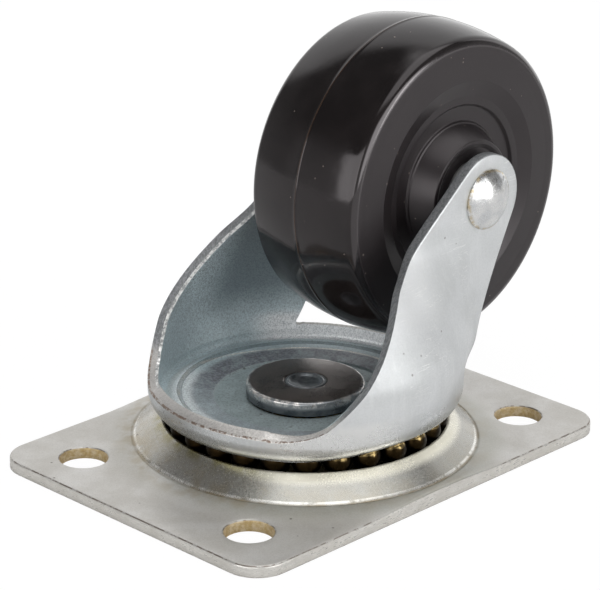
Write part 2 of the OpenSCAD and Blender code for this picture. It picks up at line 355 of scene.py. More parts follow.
def plate_zinc():
    """Warm grey zinc: mottle, pits, a dome darkened as painted shade, painted shade in the swell's hollow, a
    crease line of grime and painted shade within a stained halo, painted highlights on the dome's foot and
    its shoulder, and grease near the balls, darkened further as painted shade under the cup.
    """
    g = Graph("plate_zinc")
    r, z = g.from_swivel(), g.axis("Z")
    clouds = g.blots(0.35, 0.68, 13, 3, 0.5, 0.6)
    patches = g.blots(0.38, 0.66, 3.4, 5, 0.6)
    grain = g.noise(0.35, 3, 0.7)
    fine = g.noise(0.24, 2, 0.7)
    left = g.ramp(g.towards_right(), -2, -15)
    g.ground(clouds, (0.51, 0.49, 0.455), (0.62, 0.605, 0.58))
    g.paint((0.46, 0.435, 0.39), patches, 0.3)
    # painted shade: the swell's hollow darkened, more towards the right
    hollow_shade = g.times(g.ramp(r, 39.5, 35), g.ramp(g.towards_right(), -30, -8, 0.3, 0.75))
    g.paint((0.40, 0.40, 0.355), hollow_shade)
    g.paint((0.78, 0.78, 0.76), g.ramp(grain, 0.3, 0.75), 0.25)
    g.paint((0.33, 0.31, 0.28), g.ramp(fine, 0.45, 0.64), 0.22)
    dome = g.ramp(r, 33.2, 32.2)
    # painted shade: the dome darkened, more on the right than on the left
    g.paint((0.38, 0.375, 0.35), dome, g.span(left, 0.7, 0.4))
    # painted highlight: a broken near-white line on the dome's foot, just inside the crease
    foot = g.times(g.band(r, 32.45, 0.1, 0.2), g.blots(0.35, 0.5, 3, 4, 0.6))
    g.paint((0.95, 0.94, 0.90), foot, 0.75)
    blotchy = g.blots(0.40, 0.62, 5, 4, 0.6)
    # the dark crease line is grime, deepened as painted shade
    crease = g.times(g.band(r, CREASE_R, 0.12, 0.3), g.span(blotchy, 0.35, 0.95))
    g.paint((0.22, 0.18, 0.12), crease, 0.85)
    halo = g.times(g.band(r, CREASE_R, 0.4, 4.6), blotchy, g.span(left, 0.25, 0.6))
    g.paint((0.36, 0.30, 0.20), halo)
    specks = g.blots(0.46, 0.6, 0.45, 3, 0.8)
    soil = g.times(g.ramp(r, 33, 28.5), left, g.span(specks, 0.12, 0.6))
    g.paint((0.31, 0.27, 0.18), soil)
    # painted highlight: a pale warm band on the dome's shoulder outside the ball track, away from the left
    lip_highlight = g.times(g.ramp(r, 30.0, 28.4), g.minus(1.0, left))
    g.paint((0.92, 0.89, 0.76), lip_highlight, 0.9)
    upper = g.ramp(z, TABLE_Z - 2.0, TABLE_Z - 1.7)
    film = g.times(g.band(r, 27.2, 0.2, 2.2), g.ramp(g.noise(3.5, 4), 0.35, 0.65, 0.1, 1), upper)
    g.paint((0.28, 0.25, 0.11), film, g.span(left, 0.2, 0.9))
    # grease in the ball track, painted near black as shade in the gap under the cup
    grease_and_shade = g.times(g.ramp(r, 27.0, 26.8), g.ramp(g.noise(2.5, 4), 0.25, 0.6, 0.85, 1))
    g.paint((0.055, 0.042, 0.015), grease_and_shade, upper)
    pitted = g.times(g.band(r, 31.0, 0.8, 1.8), g.ramp(g.axis("X"), -28.5, -30.5))
    pits = g.most(g.times(g.dots(0.95, 0.16, 0.5), pitted), g.dots(3.6, 0.045, 0.22, 0.04))
    g.paint((0.09, 0.075, 0.06), pits, 0.8)
    outer = g.math("GREATER_THAN", r, SWELL_R)
    broken = g.blots(0.42, 0.54, 1.3, 5, 0.7)
    nicks = g.times(g.band(z, PLATE_T - 0.16, 0.08, 0.05), outer, broken)
    g.paint((0.17, 0.13, 0.10), nicks, 0.8)
    rough = g.plus(g.span(clouds, 0.42, 0.36), g.ramp(grain, 0.3, 0.7, -0.05, 0.08))
    rough = g.minus(rough, g.times(dome, 0.16))
    rise = g.times(grain, g.span(dome, 0.5, 0.2))
    height = g.minus(g.plus(rise, g.times(patches, 0.4)), g.times(pits, 2.0))
    metal = g.minus(g.plus(0.60, g.times(dome, 0.22)), g.times(lip_highlight, 0.55))
    return g.surface(metal, rough, g.bump(height, 0.012))


def plate_edge():
    """The plate's sheared rim: pale and smooth, with fine scratches along it and a soiled foot."""
    g = Graph("plate_cut")
    z = g.axis("Z")
    streaks = g.noise(1.0, 4, 0.7, 0.2, g.stretched(0.5, 0.5, 3.5))
    blotch = g.blots(0.35, 0.65, 3.2, 4, 0.6)
    g.ground(g.ramp(streaks, 0.3, 0.7), (0.58, 0.565, 0.53), (0.74, 0.72, 0.68))
    g.paint((0.50, 0.47, 0.42), blotch, 0.3)
    foot = g.times(g.ramp(z, 0.35, 0.05), g.blots(0.35, 0.6, 1.2, 4, 0.7))
    g.paint((0.24, 0.21, 0.18), foot, 0.6)
    g.paint((0.20, 0.17, 0.14), g.dots(1.6, 0.07, 0.25, 0.05), 0.6)
    return g.surface(0.55, g.ramp(streaks, 0.3, 0.7, 0.36, 0.26), g.bump(streaks, 0.015))


def fork_edge():
    """The fork's cut edge: light and stained along the rim, with painted shade towards the left, darker and
    torn up the legs.
    """
    g = Graph("fork_cut")
    streaks = g.noise(1.0, 4, 0.7, 0.2, g.stretched(2.2, 2.2, 0.6))
    grain = g.noise(0.35, 3, 0.7)
    rim = g.ramp(g.axis("Z"), 19.5, 16.0)
    g.ground(g.ramp(streaks, 0.3, 0.7), (0.17, 0.18, 0.19), (0.36, 0.37, 0.38))
    pale = g.mix(g.ramp(streaks, 0.3, 0.7), (0.54, 0.52, 0.50), (0.74, 0.72, 0.69))
    # painted shade: the rim's cut darkened towards the left
    pale = g.mix(g.ramp(g.towards_right(), -14, -24, 0, 0.6), pale, (0.36, 0.35, 0.34))
    g.paint(pale, rim)
    broken = g.blots(0.42, 0.56, 0.9, 4, 0.7)
    dark_band = g.times(g.band(g.from_swivel(), CUP_R - 0.2, 0.12, 0.16), broken)
    g.paint((0.17, 0.10, 0.06), dark_band, rim, 0.85)
    g.paint((0.16, 0.14, 0.13), g.ramp(grain, 0.5, 0.68), 0.35)
    return g.surface(0.6, g.ramp(streaks, 0.3, 0.7, 0.5, 0.36), g.bump(streaks, 0.04))


def hole_wall():
    """Punched wall with yellow passivation showing."""
    g = Graph("hole_wall")
    mottle = g.blots(0.34, 0.66, 1.1, 5, 0.7)
    g.ground(mottle, (0.50, 0.37, 0.17), (0.66, 0.56, 0.38))
    g.paint((0.36, 0.23, 0.12), g.blots(0.5, 0.7, 0.5, 3, 0.6), 0.5)
    return g.surface(0.45, 0.5, g.bump(g.noise(0.4, 3), 0.03))


def fork_zinc():
    """Dull bluish zinc with faint drawing marks, scratches and a few dark specks, painted shade on the cup's
    left, and painted light low on the cup's middle and high on the legs' fronts.
    """
    g = Graph("fork_zinc")
    clouds = g.blots(0.34, 0.68, 11, 3, 0.5, 0.4)
    grain = g.noise(0.4, 3, 0.75)
    drawn = g.noise(1.0, 4, 0.6, 0.1, g.stretched(0.9, 0.9, 0.12))
    g.ground(clouds, (0.60, 0.615, 0.62), (0.685, 0.70, 0.71))
    g.paint((0.46, 0.47, 0.475), g.ramp(grain, 0.38, 0.66), 0.2)
    g.paint((0.88, 0.89, 0.88), g.ramp(drawn, 0.5, 0.72), 0.14)
    cup = g.ramp(g.axis("Z"), 19, 14.5)
    right = g.towards_right()
    # painted shade: the cup's wall darkened towards the left
    g.paint((0.42, 0.43, 0.43), cup, g.ramp(right, -14, -24, 0, 0.6))
    # painted light: a pale band low on the cup's wall, in the middle of the view
    belly_highlight = g.times(g.ramp(g.axis("Z"), 18, 15.5), g.band(right, 5, 6, 10))
    g.paint((0.93, 0.92, 0.90), belly_highlight, 0.5)
    # painted light: the legs lightened high up at the front, round the elbow
    elbow = g.times(g.ramp(g.axis("X"), 13, 4), g.ramp(g.axis("Z"), 28, 36))
    g.paint((0.93, 0.94, 0.945), elbow, 0.5)
    specks = g.dots(3.6, 0.045, 0.30, 0.04)
    g.paint((0.14, 0.13, 0.12), specks, 0.6)
    hair = g.noise(1.0, 2, 0.5, 0.0, g.stretched(0.05, 1.4, 1.4, (0.3, 0.9, 0.5)))
    scratch = g.times(g.band(hair, 0.5, 0.004, 0.006), g.blots(0.52, 0.62, 9, 2))
    g.paint((0.93, 0.93, 0.92), scratch, 0.5)
    rough = g.plus(g.span(clouds, 0.48, 0.38), g.ramp(grain, 0.3, 0.7, -0.04, 0.06))
    rough = g.minus(rough, g.times(cup, 0.15))
    height = g.minus(g.plus(grain, g.times(drawn, 0.6)), g.times(specks, 1.5))
    return g.surface(g.span(cup, 0.55, 0.92), rough, g.bump(height, 0.014))


def fork_inside():
    """The cup's and legs' inner face: teal and grainy, with painted light on the rear wall, the upper legs
    and round the crest's front, painted shade on the legs' rear and lower front, in the valley and in a dark
    mottled band on the slope inside the crest, and painted highlights along the crest and the disc's rim.
    """
    g = Graph("fork_zinc_inside")
    x, r = g.axis("X"), g.from_swivel()
    clouds = g.blots(0.34, 0.68, 9, 3, 0.5, 0.4)
    grain = g.noise(0.5, 3, 0.7)
    fine = g.noise(0.3, 2, 0.7)
    z = g.axis("Z")
    g.ground(clouds, (0.55, 0.65, 0.68), (0.67, 0.78, 0.81))
    # painted light: the rear of the cup's inner wall near the rim made near white
    rear = g.times(g.ramp(x, 9, 16), g.ramp(r, 26.5, 27.3), g.ramp(z, 18, 15.5))
    g.paint((0.97, 0.98, 0.99), rear)
    # painted shade: the legs' inner faces darkened towards the rear and higher up, near the wheel
    g.paint((0.26, 0.32, 0.345), g.ramp(x, -2, 7), g.ramp(z, 15, 24))
    # painted light: the upper front of the legs' inner faces lightened
    high = g.times(g.ramp(z, 24, 32), g.ramp(x, 4, -6))
    g.paint((0.86, 0.96, 0.98), high, 0.5)
    # painted shade: the lower front of the legs' inner faces darkened
    low = g.times(g.band(z, 19, 3, 5), g.ramp(x, 2, -8))
    g.paint((0.38, 0.46, 0.50), low, 0.35)
    in_cup = g.times(g.ramp(r, 26.8, 26.2), g.ramp(z, 13.4, 12.8))
    # painted light: a near-white band round the crest, towards the front
    lit_slope = g.times(g.band(r, 23.6, 1.6, 1.4), in_cup, g.ramp(x, -4, -12))
    g.paint((0.93, 0.99, 1.0), lit_slope)
    # painted shade: a dark mottled band on the slope inside the crest, fainter at the front
    mottle = g.times(g.ramp(g.noise(2.6, 4, 0.6), 0.34, 0.58, 0.6, 1),
                     g.ramp(g.noise(0.6, 3, 0.7), 0.4, 0.6, 0.7, 1))
    dark_band = g.times(g.band(r, 19.5, 1.6, 1.6), in_cup, g.times(mottle, g.ramp(x, -20, -6, 0.5, 1)))
    g.paint((0.135, 0.12, 0.145), dark_band, 0.95)
    # painted shade in the valley outside the crest
    valley_shade = g.times(g.band(r, 25.9, 0.3, 0.8), in_cup)
    g.paint((0.40, 0.42, 0.38), valley_shade, 0.35)
    # painted highlight: a broken bright line along the crest, moving inwards towards the rear
    crest_r = g.ramp(x, -8, 12, 24.0, 21.9)
    crest_highlight = g.band(g.minus(r, crest_r), 0.0, 0.10, 0.34)
    painted_sheen = g.ramp(g.noise(4, 4, 0.6), 0.38, 0.6, 0.35, 1)
    g.paint((1.0, 0.97, 0.90), crest_highlight, in_cup, painted_sheen)
    # painted highlight: a thin bright line on the disc's rim, strongest towards the front
    rim = g.band(r, 17.25, 0.05, 0.16)
    g.paint((1.0, 1.0, 0.98), rim, g.ramp(x, -2, -10, 0.3, 1))
    heavy = g.ramp(z, 13, 32, 0.36, 0.72)
    speckle = g.plus(g.times(g.ramp(grain, 0.45, 0.66), 0.18), g.times(g.ramp(fine, 0.43, 0.62), heavy))
    g.paint((0.17, 0.20, 0.22), speckle)
    polish = g.times(g.band(r, 23.9, 0.35, 0.35), in_cup)
    rough = g.minus(g.span(clouds, 0.44, 0.36), g.times(polish, 0.18))
    metal = g.span(polish, 0.15, 0.6)
    return g.surface(metal, rough, g.bump(g.plus(grain, g.times(fine, 0.5)), 0.02))


def fork_floor():
    """The flat disc round the race washer."""
    g = Graph("fork_zinc_floor")
    clouds = g.blots(0.34, 0.68, 6, 3, 0.5, 0.4)
    grain = g.noise(0.45, 3, 0.7)
    g.ground(clouds, (0.44, 0.52, 0.53), (0.54, 0.63, 0.64))
    g.paint((0.20, 0.23, 0.24), g.ramp(grain, 0.48, 0.66), 0.6)
    g.paint((0.12, 0.12, 0.12), g.dots(3.2, 0.07, 0.3, 0.05), 0.7)
    return g.surface(0.4, g.span(clouds, 0.45, 0.36), g.bump(grain, 0.018))


def burr_highlight_metal():
    """The line left by the blanking die along an edge, painted near white as a highlight."""
    g = Graph("burr_highlight")
    nicks = g.blots(0.43, 0.58, 0.7, 4, 0.7)
    # painted highlight: the burr's colour near white, broken by nicks
    g.ground(nicks, (0.34, 0.35, 0.35), (1.0, 1.0, 0.98))
    return g.surface(0.35, g.span(nicks, 0.5, 0.25), g.bump(nicks, 0.09))


def washer_steel():
    """Dark oiled steel with faint turning rings and rubbed patches, painted sheen on its outer edge and side,
    painted glints along the top edge and painted shade low on the side.
    """
    g = Graph("dark_washer")
    r = g.from_swivel()
    smear = g.blots(0.35, 0.7, 5, 4, 0.6, 0.5)
    grain = g.noise(0.22, 3, 0.7)
    rings = g.node("TexNoise", {"noise_dimensions": "1D"}, W=g.times(r, 4.0), Detail=4.0)
    g.ground(smear, (0.085, 0.068, 0.060), (0.165, 0.138, 0.126))
    g.paint((0.34, 0.31, 0.285), g.ramp(grain, 0.42, 0.66), 0.5)
    # painted sheen: the outer edge and side made a lighter bluish grey
    painted_sheen = g.ramp(r, 10.4, 11.1)
    g.paint((0.32, 0.335, 0.35), painted_sheen)
    below = g.minus(washer_high.z, g.axis("Z"))
    # painted glints: near-white specks along the top edge
    glint_edge = g.times(g.ramp(r, 10.5, 10.8), g.ramp(below, 1.35, 0.6))
    sparkle = g.times(glint_edge, g.blots(0.44, 0.58, 1.7, 4, 0.7))
    g.paint((0.98, 0.93, 0.88), sparkle, 0.8)
    # painted shade: the lower part of the side darkened
    side = g.ramp(below, 1.0, 1.8)
    patchy = g.ramp(g.noise(2.2, 4, 0.6), 0.4, 0.6, 0.75, 1)
    g.paint((0.06, 0.07, 0.08), side, painted_sheen, patchy)
    rough = g.plus(g.span(smear, 0.24, 0.36), g.ramp(grain, 0.3, 0.7, 0, 0.08))
    rough = g.minus(rough, g.times(sparkle, 0.12))
    height = g.plus(g.times(rings.outputs["Fac"], 0.7), grain)
    return g.surface(0.7, rough, g.bump(height, 0.008), coat=0.2)


def pin_steel():
    """The peened end: hammered steel with a bright ring round its dish, which is a painted highlight."""
    g = Graph("pin_steel")
    r = g.from_swivel()
    hammered = g.noise(0.9, 3, 0.5)
    g.ground(g.ramp(hammered, 0.35, 0.65), (0.20, 0.22, 0.235), (0.34, 0.36, 0.38))
    # painted highlight: a broken bright ring on the dish's lip
    ring = g.times(g.band(r, 3.45, 0.05, 0.09), g.ramp(g.noise(1.5, 2), 0.35, 0.6, 0.5, 1))
    g.paint((0.80, 0.82, 0.84), ring)
    return g.surface(0.8, g.ramp(hammered, 0.3, 0.7, 0.30, 0.42), g.bump(hammered, 0.012))


def ball_steel():
    """Polished balls, golden above the middle and dark below it, the dark part grease with painted shade."""
    g = Graph("greased_balls")
    smear = g.times(g.noise(1.6, 3, 0.6, 0.6), 1.6)
    # painted shade: the balls dark below a height and golden above it, where the lamps glint
    clean_lit_top = g.ramp(g.plus(g.axis("Z"), smear), BALL_Z + 1.7, BALL_Z + 2.5)
    g.ground(clean_lit_top, (0.016, 0.010, 0.004), (0.46, 0.34, 0.15))
    return g.surface(1.0, g.span(clean_lit_top, 0.32, 0.10), g.bump(g.noise(0.8, 3), 0.004), specular=0.25)


def rivet_zinc():
    """Bright head with hammer shading and a dark mottled patch on its upper part."""
    g = Graph("rivet_zinc")
    dents = g.noise(3.2, 3, 0.5)
    fine = g.noise(0.5, 3, 0.7)
    g.ground(g.ramp(dents, 0.36, 0.62), (0.66, 0.67, 0.68), (0.78, 0.78, 0.775))
    # darker blotches on the head's upper part
    blotchy = g.times(g.ramp(g.axis("Z"), AXLE_Z + 0.5, AXLE_Z + 3), g.blots(0.42, 0.6, 1.4, 4, 0.6))
    g.paint((0.25, 0.25, 0.235), blotchy, g.ramp(fine, 0.4, 0.65, 0.2, 0.9))
    r = g.from_axle()
    rim = g.times(g.band(r, 5.8, 0.15, 0.5), g.blots(0.38, 0.6, 1.3, 3))
    g.paint((0.52, 0.41, 0.22), rim, 0.75)
    height = g.plus(g.times(dents, 1.6), g.times(fine, 0.12))
    return g.surface(0.93, g.ramp(fine, 0.35, 0.7, 0.18, 0.30), g.bump(height, 0.05))


def plain_steel():
    """Smeared grey steel for the tubes and washers inside."""
    g = Graph("plain_steel")
    grain = g.noise(0.4, 3, 0.7)
    smear = g.blots(0.35, 0.65, 3, 3)
    g.ground(smear, (0.26, 0.26, 0.26), (0.42, 0.42, 0.42))
    return g.surface(0.9, g.ramp(grain, 0.3, 0.7, 0.28, 0.45), g.bump(grain, 0.01))


def hard_rubber():
    """Glossy moulded black: satin side faces, dust specks and a brown parting line."""
    g = Graph("hard_rubber")
    y = g.math("ABSOLUTE", g.axis("Y"))
    r = g.from_axle()
    haze = g.blots(0.35, 0.65, 9, 4, 0.55)
    fine = g.noise(0.28, 3, 0.7)
    g.ground(haze, (0.0055, 0.0042, 0.0042), (0.010, 0.0078, 0.0078))
    side = g.times(g.ramp(y, 10.5, 11.2), g.ramp(r, 28.1, 27.4))
    g.paint((0.018, 0.0145, 0.0155), side, 0.7)
    seam = g.times(g.band(y, 0.0, 0.10, 0.12), g.ramp(g.noise(4, 3), 0.3, 0.6, 0.35, 1.0))
    tread = g.ramp(r, 28.0, 29.0)
    g.paint((0.045, 0.026, 0.017), seam, tread, 0.8)
    dust = g.most(g.dots(1.7, 0.055, 0.12, 0.05), g.dots(4.4, 0.03, 0.5, 0.025))
    g.paint((0.30, 0.25, 0.22), dust, 0.6)
    matte = g.span(side, 0.085, 0.33)
    rough = g.plus(matte, g.plus(g.span(haze, 0, 0.04), g.times(dust, 0.4)))
    smudge = g.times(g.blots(0.56, 0.72, 2.2, 5, 0.65, 1.2), 0.10)
    rough = g.plus(rough, smudge)
    wave = g.plus(g.noise(5, 2, 0.4), g.times(g.noise(1.6, 3, 0.5), 0.12))
    normal = g.bump(wave, 0.035, g.bump(fine, 0.0022))
    shoulder = g.span(g.band(r, 28.05, 0.5, 0.3), 0.5, 1.0)
    return g.surface(0.0, rough, normal, specular=shoulder, tint=(1.0, 0.94, 0.96))


# ---------------- top plate


def outline_loop(inset):
    """The plate's outline as points, moved inwards by inset. Its straight sides get points too."""
    dx, dy, r = PLATE_X - PLATE_CORNER, PLATE_Y - PLATE_CORNER, PLATE_CORNER - inset
    points = []
    for cx, cy, start in ((dx, dy, 0), (-dx, dy, 90), (-dx, -dy, 180), (dx, -dy, 270)):
        points += arc(cx, cy, r, start, start + 90, 10)
    dense = []
    for here, after in zip(points, points[1:] + points[:1]):
        parts = 22 if dist(here, after) > 5 else 1
        for k in range(parts):
            dense.append(tuple(here[a] + (after[a] - here[a]) * k / parts for a in (0, 1)))
    return dense


def inside_outline(x, y, margin):
    """Whether a point is within the plate's outline and further from it than the margin."""
    dx, dy = abs(x) - PLATE_X + PLATE_CORNER, abs(y) - PLATE_Y + PLATE_CORNER
    reach = hypot(dx, dy) if dx > 0 and dy > 0 else max(dx, dy)
    return reach <= PLATE_CORNER - margin


def circle_loop(cx, cy, r, n):
    turns = [2 * pi * i / n for i in range(n)]
    return [(cx + r * cos(a), cy + r * sin(a)) for a in turns]


def profile_height(profile, r):
    """Height of a profile of (radius, height) points, which go outwards, at radius r."""
    if r <= profile[0][0]:
        return profile[0][1]
    for (r0, h0), (r1, h1) in zip(profile, profile[1:]):
        if r <= r1:
            return h0 + (h1 - h0) * (r - r0) / max(r1 - r0, 1e-9)
    return profile[-1][1]


def plate_top():
    return rounded([(PIN_R, TABLE_Z), (21.4, TABLE_Z, 0.8)]
                   + [(*p, 0) for p in arc(BALL_RING, BALL_Z, TRACK_R, 214, 338, 16)]
                   + [(TRACK_LIP_R, TRACK_LIP_Z, 0.15), (32.45, 3.42, 0.3), (32.85, 3.02, 0.15),
                      (33.25, 3.16, 0.2), (SWELL_R, PLATE_T, 14), (70, PLATE_T)])


def plate_bottom():
    return rounded([(PIN_R, TABLE_Z - PLATE_T), (19.2, TABLE_Z - PLATE_T, 1.0)]
                   + [(*p, 0) for p in arc(BALL_RING, BALL_Z, TRACK_R + PLATE_T, 230, 300, 10)]
                   + [(28.0, 3.3, 0.8), (31.9, 1.05, 1.2), (34.3, 0.0, 1.6), (70, 0)])


def build_plate(materials):
    """Sheet with two faces triangulated between the same loops, joined by rounded edges."""
    points, faces, slots = [], [], []
    top, bottom = plate_top(), plate_bottom()
    roll, burr = 0.5, 0.12
    clear, spacing, dome_end = 1.3, 2.1, 34.6
    hole_steps, pin_steps, dome_steps = 56, 72, 200
    # rings of points, closest together on the ball track, its lip and the crease
    radii = [6, 9, 13, 17, 19.5, 20.6] + [21.0 + 0.35 * k for k in range(18)]
    radii += [27.1, 27.25, 27.4, 27.55, 27.7, 28.0, 28.6, 29.2, 30.2, 31.2, 31.9]
    radii += [32.3, 32.5, 32.65, 32.8, 32.95, 33.1, 33.25, 33.5]
    holes = [(sx * BOLT_X, sy * BOLT_Y) for sx in (-1, 1) for sy in (-1, 1)]

    def face_of(inset, height, profile, flip):
        """One face of the sheet: its edge loops, rings round the dome and a grid on the flat border."""
        loops = [outline_loop(inset)] + [circle_loop(x, y, BOLT_R + inset, hole_steps) for x, y in holes]
        loops.append(circle_loop(0, 0, PIN_R, pin_steps))
        flat, edges = [], []
        for loop in loops:
            start = len(flat)
            flat += loop
            edges += [(start + i, start + (i + 1) % len(loop)) for i in range(len(loop))]
        for r in radii:
            flat += circle_loop(0, 0, r, pin_steps if r < 18 else dome_steps)
        for row in range(int(2 * PLATE_Y / spacing) + 2):
            for column in range(int(2 * PLATE_X / spacing) + 2):
                x = -PLATE_X + (column + 0.5 * (row % 2)) * spacing
                y = -PLATE_Y + row * spacing
                near_hole = any(hypot(x - hx, y - hy) < BOLT_R + clear for hx, hy in holes)
                if inside_outline(x, y, clear) and not near_hole and hypot(x, y) >= dome_end:
                    flat.append((x, y))
        found = delaunay_2d_cdt([Vector(p) for p in flat], edges, [], 0, 1e-6)
        base = len(points)
        for p in found[0]:
            drop = height if hypot(*p) > PIN_R + 0.01 else 0
            points.append((p.x, p.y, profile_height(profile, hypot(*p)) + drop))
        for tri in found[2]:
            cx, cy = (sum(found[0][i][a] for i in tri) / 3 for a in (0, 1))
            in_hole = any(hypot(cx - hx, cy - hy) < BOLT_R + inset - 0.01 for hx, hy in holes)
            if hypot(cx, cy) >= PIN_R and not in_hole:
                faces.append([base + i for i in (reversed(tri) if flip else tri)])
                slots.append(0)

    def wall(loop_at, slot, rows):
        """Rows of points from the upper face's edge to the lower face's edge."""
        rings = []
        for inset, height in rows:
            loop = loop_at(inset)
            rings.append(range(len(points), len(points) + len(loop)))
            for x, y in loop:
                r = hypot(x, y)
                points.append((x, y, profile_height(top if height <= 0 else bottom, r) + height))
        for k, (low, high) in enumerate(zip(rings, rings[1:])):
            n = len(low)
            for i in range(n):
                j = (i + 1) % n
                faces.append([low[i], low[j], high[j], high[i]])
                slots.append(slot if k >= 3 else 0)

    face_of(roll, 0, top, False)
    face_of(burr, 1e-9, bottom, True)
    turns = [pi / 2 * k / 5 for k in range(6)]
    # at or below 0 a height counts down from the upper face, above 0 it counts up from the lower face
    cut_rows = [(roll * (1 - sin(a)), -roll * (1 - cos(a))) for a in turns]
    cut_rows += [(0, PLATE_T * 0.5), (0, burr), (burr * 0.3, burr * 0.3), (burr, 1e-9)]
    wall(outline_loop, 1, cut_rows)
    for hx, hy in holes:
        wall(lambda inset, hx=hx, hy=hy: circle_loop(hx, hy, BOLT_R + inset, hole_steps), 2, cut_rows)
    wall(lambda inset: circle_loop(0, 0, PIN_R, pin_steps), 0, [(0, 0), (0, 1e-9)])
    make_piece("mounting_plate", ("base", "plate_zinc", "top_plate"), points, faces, materials, slots, 50)


# ---------------- fork


def smooth(value, low, high):
    share = min(max((value - low) / (high - low), 0), 1)
    return share * share * (3 - 2 * share)


def flatten(z):
    """Share of the way from round to flat at height z up a leg, easing in to 1."""
    share = max((z - BEND_LOW) / (BEND_HIGH - BEND_LOW), 0)
    share = (share + 1 - hypot(share - 1, 0.07)) / 2
    return max(share, 0) ** BEND_POWER


def sheet_y(x, z):
    """Distance of the leg's outer surface from the centre plane: round at the foot, flat at the axle."""
    wall = sqrt(max(CUP_R * CUP_R - x * x, 0))
    if x > 0:
        soft = BEND_SOFT * smooth(z, SOFT_LOW - 2, SOFT_LOW + SOFT_HEIGHT) * smooth(x, 0, 20)
        wall = (wall + LEG_Y + hypot(wall - LEG_Y, soft)) / 2
    return wall + (LEG_Y - wall) * flatten(z)


def corner_z(turn):
    """Height where the cup's rounded corner begins: higher beneath the legs than at the open front."""
    away = abs(degrees(remainder(turn, 2 * pi)))
    return CORNER_Z + CORNER_LIFT * smooth(away, *LIFT_FRONT) * smooth(away, *LIFT_REAR)


def sheet_normal(x, z):
    """Outward normal of the leg's outer surface on the +Y side."""
    step = 0.05
    dx = (sheet_y(x + step, z) - sheet_y(x - step, z)) / (2 * step)
    dz = (sheet_y(x, z + step) - sheet_y(x, z - step)) / (2 * step)
    return Vector((-dx, 1, -dz)).normalized()


def leg_outline():
    """The leg's edge in (x, z): fillet from the rim, elbow, round end, straight rear edge."""
    fillet_x = FRONT_FOOT_X - FRONT_FILLET * tan(FRONT_ANGLE / 2)
    end = Vector((AXLE_X - LEG_END * sin(UPPER_ANGLE), AXLE_Z + LEG_END * cos(UPPER_ANGLE)))
    rise, upper = tan(FRONT_ANGLE), tan(UPPER_ANGLE)
    elbow_x = (end.y - EDGE_Z - end.x * upper + FRONT_FOOT_X * rise) / (rise - upper)
    elbow_z = EDGE_Z + (elbow_x - FRONT_FOOT_X) * rise
    rear = Vector((AXLE_X + LEG_END * sin(REAR_ANGLE), AXLE_Z - LEG_END * cos(REAR_ANGLE)))
    foot_z = RIM_REAR + FOOT_RISE
    foot = (rear.x - (rear.y - foot_z) / tan(REAR_ANGLE), foot_z)
    upper_deg, rear_deg = degrees(UPPER_ANGLE), degrees(REAR_ANGLE)
    front = arc(fillet_x, EDGE_Z + FRONT_FILLET, FRONT_FILLET, -90, degrees(FRONT_ANGLE) - 90, 10)
    elbow = rounded([front[-1], (elbow_x, elbow_z, ELBOW_R), tuple(end)], steps=6)
    top = arc(AXLE_X, AXLE_Z, LEG_END, 90 + upper_deg, rear_deg - 90, 22)
    return front[:-1] + elbow[:-1] + top + [foot]


def spaced(points, count):
    """count + 1 points at even distances along a line of points."""
    lengths = [0]
    for a, b in zip(points, points[1:]):
        lengths.append(lengths[-1] + dist(a, b))
    result, k = [], 0
    for i in range(count + 1):
        target = lengths[-1] * i / count
        while k < len(points) - 2 and lengths[k + 1] < target:
            k += 1
        share = (target - lengths[k]) / max(lengths[k + 1] - lengths[k], 1e-9)
        result.append(tuple(points[k][a] + (points[k + 1][a] - points[k][a]) * share for a in (0, 1)))
    return result


def fork_columns():
    """One entry per column of the fork's mesh: (azimuth, leg edge point or None, side)."""
    leg_steps, front_steps, rear_steps = 116, 40, 72
    outline = spaced(leg_outline(), leg_steps)
    front_turn = acos(outline[0][0] / CUP_R)
    rear_turn = acos(outline[-1][0] / CUP_R) + 0.012
    span = rear_turn - front_turn
    left = [(front_turn + span * i / leg_steps, edge, 1) for i, edge in enumerate(outline)]
    right = [(-turn, edge, -1) for turn, edge, _ in reversed(left)]
    rear = [(rear_turn * (1 - 2 * i / rear_steps), None, 0) for i in range(1, rear_steps)]
    gap = pi - front_turn
    front = [(-front_turn - 2 * gap * i / front_steps, None, 0) for i in range(1, front_steps)]
    return left + rear + right + front, rear_turn


def rim_height(turn, rear_turn):
    """Height of the rim: lower at the rear, with a small relief beside each leg's rear foot."""
    share = (1 - cos(turn)) / 2
    level = RIM_REAR + (RIM_FRONT - RIM_REAR) * share
    beside = (abs(rear_turn - abs(remainder(turn, 2 * pi))) * CUP_R - RELIEF_AT) / RELIEF_WIDTH
    relief = RELIEF * exp(-beside * beside) if abs(turn) < rear_turn else 0
    return level - relief


